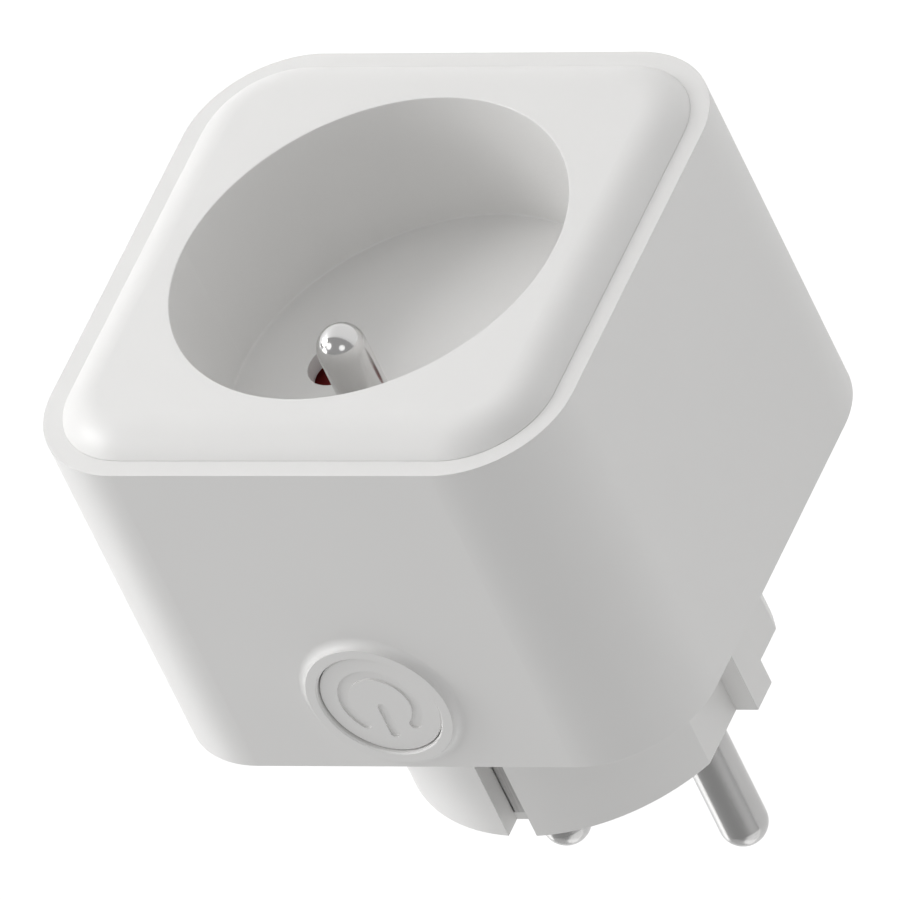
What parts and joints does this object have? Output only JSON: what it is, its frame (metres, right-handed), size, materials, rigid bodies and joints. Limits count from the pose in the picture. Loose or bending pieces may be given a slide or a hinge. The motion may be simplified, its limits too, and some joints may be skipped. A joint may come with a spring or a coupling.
{
  "type": "plug in power meter",
  "caption": "Square plug-in smart socket with a round recessed outlet, one side power button, internal metering board and relay, and a two-pin grounded plug on its back.",
  "frame": {"origin": "centre of the plug base's end face, midway between the two plug pins", "axes": "+Y the way the plug pins point into the wall, +Z the power button's side, -Y the socket's side"},
  "size_m": [0.0556, 0.0777, 0.0564],
  "materials": {
    "white_case": "satin white moulding",
    "white_face": "satin white moulding",
    "white_base": "satin white moulding",
    "white_button": "satin white moulding",
    "plug_nickel": "nickel plated, drawn along its length",
    "bright_nickel": "polished nickel",
    "contact_nickel": "nickel plated strip",
    "clip_nickel": "nickel plated strip, brushed along its length",
    "brass": "rolled strip",
    "screw_steel": "zinc plated",
    "spring_steel": "drawn wire",
    "red_plastic": "dark red moulding",
    "carrier_plastic": "heat resistant off-white moulding",
    "black_plastic": "moulding compound",
    "switch_body": "moulding with tinned feet",
    "relay_plastic": "blue moulding",
    "circuit_board": "green solder mask",
    "radio_board": "blue solder mask",
    "shield_tin": "tinned sheet",
    "led_lens": "clear epoxy",
    "copper_winding": "enamelled copper wire",
    "core_steel": "soft iron",
    "ferrite": "sintered ferrite",
    "yellow_film": "yellow box",
    "capacitor_sleeve": "dark shrink sleeve",
    "blue_epoxy": "dipped epoxy",
    "green_epoxy": "cement coat",
    "shunt_alloy": "bare resistance alloy"
  },
  "bodies": {
    "housing": {"outer_shell": "white_case", "socket_face": "white_face", "plug_base": "white_base", "case_screws": "screw_steel", "plug_pin_live": "plug_nickel", "plug_pin_neutral": "plug_nickel", "socket_earth_pin": "bright_nickel", "earth_receptacle": "contact_nickel", "earth_busbar": "brass", "earth_strap": "brass", "earth_clip_upper": "clip_nickel", "earth_clip_lower": "clip_nickel", "tact_switch": "switch_body", "button_board": "circuit_board", "status_led": "led_lens", "live_contact": "brass", "neutral_contact": "brass", "contact_carrier": "carrier_plastic", "carrier_screws": "screw_steel", "shutter_spring": "spring_steel", "main_board": "circuit_board", "relay_base": "relay_plastic", "relay_case": "relay_plastic", "relay_coil": "copper_winding", "relay_core": "core_steel", "relay_contact": "brass", "film_capacitor": "yellow_film", "supply_capacitors": "capacitor_sleeve", "inductor_core": "ferrite", "inductor_winding": "copper_winding", "varistor": "blue_epoxy", "fuse_resistor": "green_epoxy", "bridge_rectifier": "black_plastic", "power_chip": "black_plastic", "metering_chip": "black_plastic", "metering_shunt": "shunt_alloy", "wifi_board": "radio_board", "wifi_shield": "shield_tin"},
    "button": {"button_cap": "white_button", "switch_plunger": "black_plastic"},
    "shutter": {"shutter": "red_plastic"},
    "relay_armature": {"relay_armature": "core_steel"}
  },
  "joints": [
    {"name": "button_press", "type": "slide", "parent": "housing", "child": "button", "axis": [0, 0, -1], "range_m": [0, 0.0006], "stiffness_N_per_m": 1500, "springref_m": -0.0006},
    {"name": "shutter_slide", "type": "slide", "parent": "housing", "child": "shutter", "axis": [0, 0, -1], "range_m": [0, 0.0065], "stiffness_N_per_m": 120, "springref_m": -0.004, "deforming": ["shutter_spring"]},
    {"name": "armature_rock", "type": "hinge", "parent": "housing", "child": "relay_armature", "pos_m": [0.0012, -0.0347, -0.01745], "axis": [0, 0, -1], "range_deg": [0, 2.8], "stiffness_Nm_per_rad": 0.02, "springref_deg": -5.73}
  ]
}
